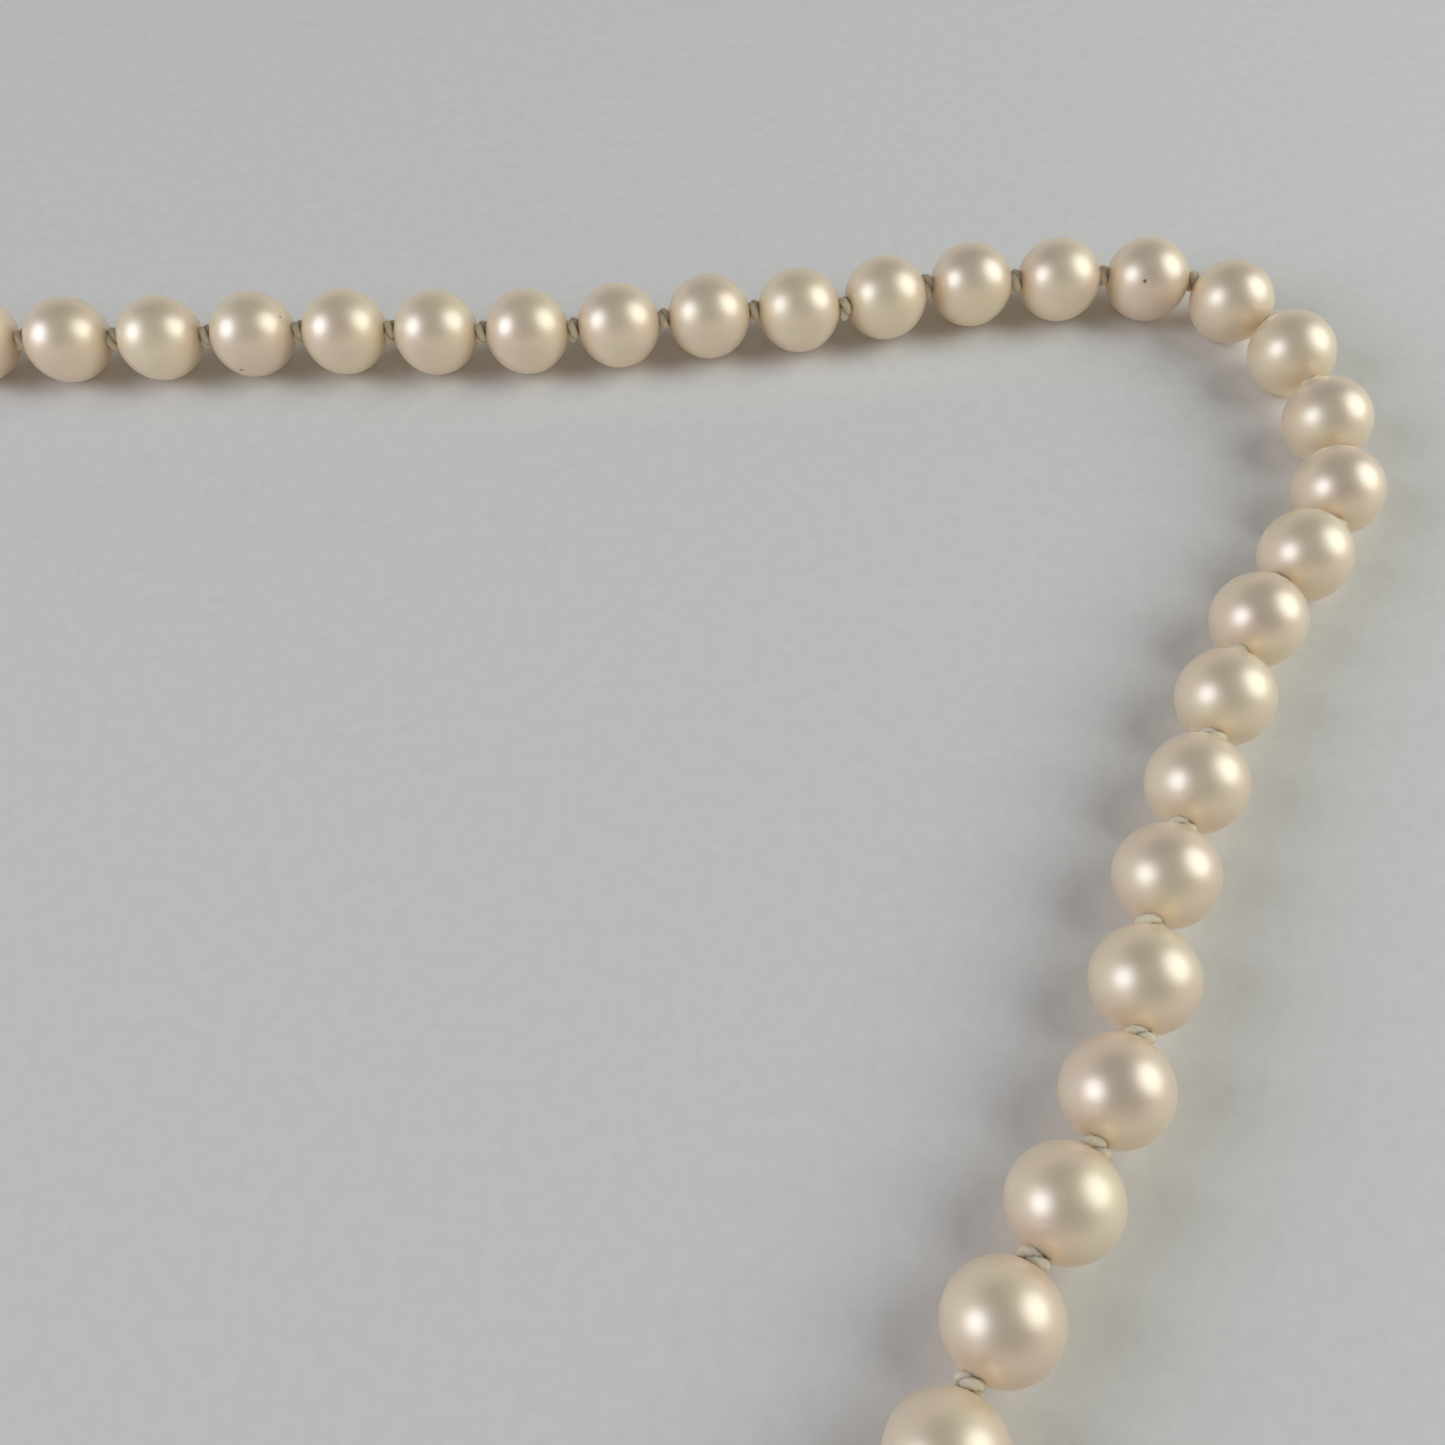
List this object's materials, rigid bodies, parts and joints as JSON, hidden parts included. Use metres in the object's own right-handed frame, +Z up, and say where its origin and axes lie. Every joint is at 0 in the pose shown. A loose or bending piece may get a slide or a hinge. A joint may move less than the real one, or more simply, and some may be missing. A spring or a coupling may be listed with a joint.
{
  "type": "pearl necklace",
  "caption": "Strand of round pearls knotted on silk thread, laid open in a bent line, with gimp-covered thread loops and a gilt push-in box clasp that is undone.",
  "frame": {"origin": "on the surface the necklace lies on, under the middle of its outline", "axes": "+Z up from that surface; the long row of pearls runs nearly along X, with the bend of the strand at +X and +Y"},
  "size_m": [0.2142, 0.1736, 0.007],
  "materials": {
    "pearl": "satin",
    "silk": "satin",
    "gilt_wire": "gloss",
    "gilt_metal": "polished"
  },
  "bodies": {
    "pearl_01": {"pearl_01": "pearl"},
    "pearl_02": {"pearl_02": "pearl"},
    "pearl_03": {"pearl_03": "pearl"},
    "pearl_04": {"pearl_04": "pearl"},
    "pearl_05": {"pearl_05": "pearl"},
    "pearl_06": {"pearl_06": "pearl"},
    "pearl_07": {"pearl_07": "pearl"},
    "pearl_08": {"pearl_08": "pearl"},
    "pearl_09": {"pearl_09": "pearl"},
    "pearl_10": {"pearl_10": "pearl"},
    "pearl_11": {"pearl_11": "pearl"},
    "pearl_12": {"pearl_12": "pearl"},
    "pearl_13": {"pearl_13": "pearl"},
    "pearl_14": {"pearl_14": "pearl"},
    "pearl_15": {"pearl_15": "pearl"},
    "pearl_16": {"pearl_16": "pearl"},
    "pearl_17": {"pearl_17": "pearl"},
    "pearl_18": {"pearl_18": "pearl"},
    "pearl_19": {"pearl_19": "pearl"},
    "pearl_20": {"pearl_20": "pearl"},
    "pearl_21": {"pearl_21": "pearl"},
    "pearl_22": {"pearl_22": "pearl"},
    "pearl_23": {"pearl_23": "pearl"},
    "pearl_24": {"pearl_24": "pearl"},
    "pearl_25": {"pearl_25": "pearl"},
    "pearl_26": {"pearl_26": "pearl", "silk_thread": "silk"},
    "pearl_27": {"pearl_27": "pearl"},
    "pearl_28": {"pearl_28": "pearl"},
    "pearl_29": {"pearl_29": "pearl"},
    "pearl_30": {"pearl_30": "pearl"},
    "pearl_31": {"pearl_31": "pearl"},
    "pearl_32": {"pearl_32": "pearl"},
    "pearl_33": {"pearl_33": "pearl"},
    "pearl_34": {"pearl_34": "pearl"},
    "pearl_35": {"pearl_35": "pearl"},
    "pearl_36": {"pearl_36": "pearl"},
    "pearl_37": {"pearl_37": "pearl"},
    "pearl_38": {"pearl_38": "pearl"},
    "pearl_39": {"pearl_39": "pearl"},
    "pearl_40": {"pearl_40": "pearl"},
    "pearl_41": {"pearl_41": "pearl"},
    "pearl_42": {"pearl_42": "pearl"},
    "pearl_43": {"pearl_43": "pearl"},
    "pearl_44": {"pearl_44": "pearl"},
    "pearl_45": {"pearl_45": "pearl"},
    "pearl_46": {"pearl_46": "pearl"},
    "pearl_47": {"pearl_47": "pearl"},
    "pearl_48": {"pearl_48": "pearl"},
    "pearl_49": {"pearl_49": "pearl"},
    "pearl_50": {"pearl_50": "pearl"},
    "tongue_gimp": {"tongue_gimp": "gilt_wire"},
    "tongue": {"tongue_plate": "gilt_metal", "tongue_ring": "gilt_metal"},
    "spring_leaf": {"spring_leaf": "gilt_metal"},
    "housing_gimp": {"housing_gimp": "gilt_wire"},
    "clasp_housing": {"housing_tray": "gilt_metal", "housing_cover": "gilt_metal", "catch_bars": "gilt_metal", "housing_ring": "gilt_metal"}
  },
  "joints": [
    {"name": "spring_leaf_press", "type": "hinge", "parent": "tongue", "child": "spring_leaf", "pos_m": [-0.1052, 0.05893, 0.0019], "axis": [-0.5878, 0.809, 0], "range_deg": [0, 8], "stiffness_Nm_per_rad": 0.1},
    {"name": "tongue_ring_swivel", "type": "hinge", "parent": "tongue_gimp", "child": "tongue", "pos_m": [-0.09679, 0.06504, 0.0024], "axis": [0, 0, 1], "range_deg": [-74, 46]},
    {"name": "tongue_knot", "type": "hinge", "parent": "pearl_01", "child": "tongue_gimp", "pos_m": [-0.09302, 0.06656, 0.0035], "axis": [0, 0, 1], "range_deg": [-38, 22], "deforming": ["silk_thread"]},
    {"name": "housing_ring_swivel", "type": "hinge", "parent": "housing_gimp", "child": "clasp_housing", "pos_m": [0.01473, -0.08013, 0.0024], "axis": [0, 0, 1], "range_deg": [-44, 76]},
    {"name": "housing_knot", "type": "hinge", "parent": "pearl_50", "child": "housing_gimp", "pos_m": [0.01814, -0.07791, 0.0035], "axis": [0, 0, 1], "range_deg": [-21, 39], "deforming": ["silk_thread"]},
    {"name": "knot_01", "type": "hinge", "parent": "pearl_02", "child": "pearl_01", "pos_m": [-0.08564, 0.0684, 0.0035], "axis": [0, 0, -1], "range_deg": [-38, 42], "deforming": ["silk_thread"]},
    {"name": "knot_02", "type": "hinge", "parent": "pearl_03", "child": "pearl_02", "pos_m": [-0.07821, 0.06998, 0.0035], "axis": [0, 0, 1], "range_deg": [-43, 37], "deforming": ["silk_thread"]},
    {"name": "knot_03", "type": "hinge", "parent": "pearl_04", "child": "pearl_03", "pos_m": [-0.0707, 0.07117, 0.0035], "axis": [0, 0, -1], "range_deg": [-39, 41], "deforming": ["silk_thread"]},
    {"name": "knot_04", "type": "hinge", "parent": "pearl_05", "child": "pearl_04", "pos_m": [-0.06318, 0.07223, 0.0035], "axis": [0, 0, 1], "range_deg": [-42, 38], "deforming": ["silk_thread"]},
    {"name": "knot_05", "type": "hinge", "parent": "pearl_06", "child": "pearl_05", "pos_m": [-0.05562, 0.07302, 0.0035], "axis": [0, 0, -1], "range_deg": [-37, 43], "deforming": ["silk_thread"]},
    {"name": "knot_06", "type": "hinge", "parent": "pearl_07", "child": "pearl_06", "pos_m": [-0.04803, 0.07342, 0.0035], "axis": [0, 0, 1], "range_deg": [-41, 39], "deforming": ["silk_thread"]},
    {"name": "knot_07", "type": "hinge", "parent": "pearl_08", "child": "pearl_07", "pos_m": [-0.04043, 0.07368, 0.0035], "axis": [0, 0, -1], "range_deg": [-42, 38], "deforming": ["silk_thread"]},
    {"name": "knot_08", "type": "hinge", "parent": "pearl_09", "child": "pearl_08", "pos_m": [-0.03285, 0.07421, 0.0035], "axis": [0, 0, 1], "range_deg": [-39, 41], "deforming": ["silk_thread"]},
    {"name": "knot_09", "type": "hinge", "parent": "pearl_10", "child": "pearl_09", "pos_m": [-0.02528, 0.07488, 0.0035], "axis": [0, 0, -1], "range_deg": [-38, 42], "deforming": ["silk_thread"]},
    {"name": "knot_10", "type": "hinge", "parent": "pearl_11", "child": "pearl_10", "pos_m": [-0.01769, 0.07527, 0.0035], "axis": [0, 0, 1], "range_deg": [-42, 38], "deforming": ["silk_thread"]},
    {"name": "knot_11", "type": "hinge", "parent": "pearl_12", "child": "pearl_11", "pos_m": [-0.01009, 0.07541, 0.0035], "axis": [0, 0, -1], "range_deg": [-39, 41], "deforming": ["silk_thread"]},
    {"name": "knot_12", "type": "hinge", "parent": "pearl_13", "child": "pearl_12", "pos_m": [-0.00249, 0.07541, 0.0035], "axis": [0, 0, 1], "range_deg": [-39, 41], "deforming": ["silk_thread"]},
    {"name": "knot_13", "type": "hinge", "parent": "pearl_14", "child": "pearl_13", "pos_m": [0.00511, 0.07554, 0.0035], "axis": [0, 0, -1], "range_deg": [-42, 38], "deforming": ["silk_thread"]},
    {"name": "knot_14", "type": "hinge", "parent": "pearl_15", "child": "pearl_14", "pos_m": [0.0127, 0.07594, 0.0035], "axis": [0, 0, 1], "range_deg": [-39, 41], "deforming": ["silk_thread"]},
    {"name": "knot_15", "type": "hinge", "parent": "pearl_16", "child": "pearl_15", "pos_m": [0.02028, 0.07647, 0.0035], "axis": [0, 0, -1], "range_deg": [-37, 43], "deforming": ["silk_thread"]},
    {"name": "knot_16", "type": "hinge", "parent": "pearl_17", "child": "pearl_16", "pos_m": [0.02788, 0.0766, 0.0035], "axis": [0, 0, 1], "range_deg": [-42, 38], "deforming": ["silk_thread"]},
    {"name": "knot_17", "type": "hinge", "parent": "pearl_18", "child": "pearl_17", "pos_m": [0.03547, 0.07647, 0.0035], "axis": [0, 0, -1], "range_deg": [-44, 36], "deforming": ["silk_thread"]},
    {"name": "knot_18", "type": "hinge", "parent": "pearl_19", "child": "pearl_18", "pos_m": [0.04306, 0.07687, 0.0035], "axis": [0, 0, 1], "range_deg": [-34, 46], "deforming": ["silk_thread"]},
    {"name": "knot_19", "type": "hinge", "parent": "pearl_20", "child": "pearl_19", "pos_m": [0.05057, 0.07805, 0.0035], "axis": [0, 0, -1], "range_deg": [-39, 41], "deforming": ["silk_thread"]},
    {"name": "knot_20", "type": "hinge", "parent": "pearl_21", "child": "pearl_20", "pos_m": [0.0581, 0.07911, 0.0035], "axis": [0, 0, 1], "range_deg": [-44, 36], "deforming": ["silk_thread"]},
    {"name": "knot_21", "type": "hinge", "parent": "pearl_22", "child": "pearl_21", "pos_m": [0.06568, 0.07964, 0.0035], "axis": [0, 0, -1], "range_deg": [-56, 24], "deforming": ["silk_thread"]},
    {"name": "knot_22", "type": "hinge", "parent": "pearl_23", "child": "pearl_22", "pos_m": [0.07282, 0.08224, 0.0035], "axis": [0, 0, 1], "range_deg": [-55, 25], "deforming": ["silk_thread"]},
    {"name": "knot_23", "type": "hinge", "parent": "pearl_24", "child": "pearl_23", "pos_m": [0.08039, 0.0829, 0.0035], "axis": [0, 0, -1], "range_deg": [-40, 40], "deforming": ["silk_thread"]},
    {"name": "knot_24", "type": "hinge", "parent": "pearl_25", "child": "pearl_24", "pos_m": [0.08796, 0.08357, 0.0035], "axis": [0, 0, 1], "range_deg": [-49, 31], "deforming": ["silk_thread"]},
    {"name": "knot_25", "type": "hinge", "parent": "pearl_26", "child": "pearl_25", "pos_m": [0.09554, 0.08304, 0.0035], "axis": [0, 0, -1], "range_deg": [-4, 76], "deforming": ["silk_thread"]},
    {"name": "knot_26", "type": "hinge", "parent": "pearl_26", "child": "pearl_27", "pos_m": [0.10137, 0.07815, 0.0035], "axis": [0, 0, 1], "range_deg": [-4, 76], "deforming": ["silk_thread"]},
    {"name": "knot_27", "type": "hinge", "parent": "pearl_27", "child": "pearl_28", "pos_m": [0.1032, 0.07078, 0.0035], "axis": [0, 0, -1], "range_deg": [-48, 32], "deforming": ["silk_thread"]},
    {"name": "knot_28", "type": "hinge", "parent": "pearl_28", "child": "pearl_29", "pos_m": [0.104, 0.06322, 0.0035], "axis": [0, 0, 1], "range_deg": [-16, 64], "deforming": ["silk_thread"]},
    {"name": "knot_29", "type": "hinge", "parent": "pearl_29", "child": "pearl_30", "pos_m": [0.10165, 0.05599, 0.0035], "axis": [0, 0, -1], "range_deg": [-66, 14], "deforming": ["silk_thread"]},
    {"name": "knot_30", "type": "hinge", "parent": "pearl_30", "child": "pearl_31", "pos_m": [0.09637, 0.05052, 0.0035], "axis": [0, 0, 1], "range_deg": [-52, 28], "deforming": ["silk_thread"]},
    {"name": "knot_31", "type": "hinge", "parent": "pearl_31", "child": "pearl_32", "pos_m": [0.09234, 0.04408, 0.0035], "axis": [0, 0, -1], "range_deg": [-32, 48], "deforming": ["silk_thread"]},
    {"name": "knot_32", "type": "hinge", "parent": "pearl_32", "child": "pearl_33", "pos_m": [0.08925, 0.03714, 0.0035], "axis": [0, 0, 1], "range_deg": [-39, 41], "deforming": ["silk_thread"]},
    {"name": "knot_33", "type": "hinge", "parent": "pearl_33", "child": "pearl_34", "pos_m": [0.08604, 0.03025, 0.0035], "axis": [0, 0, -1], "range_deg": [-39, 41], "deforming": ["silk_thread"]},
    {"name": "knot_34", "type": "hinge", "parent": "pearl_34", "child": "pearl_35", "pos_m": [0.08295, 0.0233, 0.0035], "axis": [0, 0, 1], "range_deg": [-50, 30], "deforming": ["silk_thread"]},
    {"name": "knot_35", "type": "hinge", "parent": "pearl_35", "child": "pearl_36", "pos_m": [0.08111, 0.01593, 0.0035], "axis": [0, 0, -1], "range_deg": [-54, 26], "deforming": ["silk_thread"]},
    {"name": "knot_36", "type": "hinge", "parent": "pearl_36", "child": "pearl_37", "pos_m": [0.07754, 0.00922, 0.0035], "axis": [0, 0, 1], "range_deg": [-34, 46], "deforming": ["silk_thread"]},
    {"name": "knot_37", "type": "hinge", "parent": "pearl_37", "child": "pearl_38", "pos_m": [0.07329, 0.00292, 0.0035], "axis": [0, 0, -1], "range_deg": [-38, 42], "deforming": ["silk_thread"]},
    {"name": "knot_38", "type": "hinge", "parent": "pearl_38", "child": "pearl_39", "pos_m": [0.06926, -0.00353, 0.0035], "axis": [0, 0, 1], "range_deg": [-48, 32], "deforming": ["silk_thread"]},
    {"name": "knot_39", "type": "hinge", "parent": "pearl_39", "child": "pearl_40", "pos_m": [0.06617, -0.01047, 0.0035], "axis": [0, 0, -1], "range_deg": [-38, 42], "deforming": ["silk_thread"]},
    {"name": "knot_40", "type": "hinge", "parent": "pearl_40", "child": "pearl_41", "pos_m": [0.06333, -0.01752, 0.0035], "axis": [0, 0, 1], "range_deg": [-37, 43], "deforming": ["silk_thread"]},
    {"name": "knot_41", "type": "hinge", "parent": "pearl_41", "child": "pearl_42", "pos_m": [0.06011, -0.0244, 0.0035], "axis": [0, 0, -1], "range_deg": [-44, 36], "deforming": ["silk_thread"]},
    {"name": "knot_42", "type": "hinge", "parent": "pearl_42", "child": "pearl_43", "pos_m": [0.05643, -0.03105, 0.0035], "axis": [0, 0, 1], "range_deg": [-38, 42], "deforming": ["silk_thread"]},
    {"name": "knot_43", "type": "hinge", "parent": "pearl_43", "child": "pearl_44", "pos_m": [0.05252, -0.03756, 0.0035], "axis": [0, 0, -1], "range_deg": [-43, 37], "deforming": ["silk_thread"]},
    {"name": "knot_44", "type": "hinge", "parent": "pearl_44", "child": "pearl_45", "pos_m": [0.04827, -0.04387, 0.0035], "axis": [0, 0, 1], "range_deg": [-37, 43], "deforming": ["silk_thread"]},
    {"name": "knot_45", "type": "hinge", "parent": "pearl_45", "child": "pearl_46", "pos_m": [0.04369, -0.04994, 0.0035], "axis": [0, 0, -1], "range_deg": [-39, 41], "deforming": ["silk_thread"]},
    {"name": "knot_46", "type": "hinge", "parent": "pearl_46", "child": "pearl_47", "pos_m": [0.03923, -0.05608, 0.0035], "axis": [0, 0, 1], "range_deg": [-37, 43], "deforming": ["silk_thread"]},
    {"name": "knot_47", "type": "hinge", "parent": "pearl_47", "child": "pearl_48", "pos_m": [0.03444, -0.06199, 0.0035], "axis": [0, 0, -1], "range_deg": [-44, 36], "deforming": ["silk_thread"]},
    {"name": "knot_48", "type": "hinge", "parent": "pearl_48", "child": "pearl_49", "pos_m": [0.02926, -0.06755, 0.0035], "axis": [0, 0, 1], "range_deg": [-37, 43], "deforming": ["silk_thread"]},
    {"name": "knot_49", "type": "hinge", "parent": "pearl_49", "child": "pearl_50", "pos_m": [0.02379, -0.07283, 0.0035], "axis": [0, 0, -1], "range_deg": [-42, 38], "deforming": ["silk_thread"]}
  ]
}
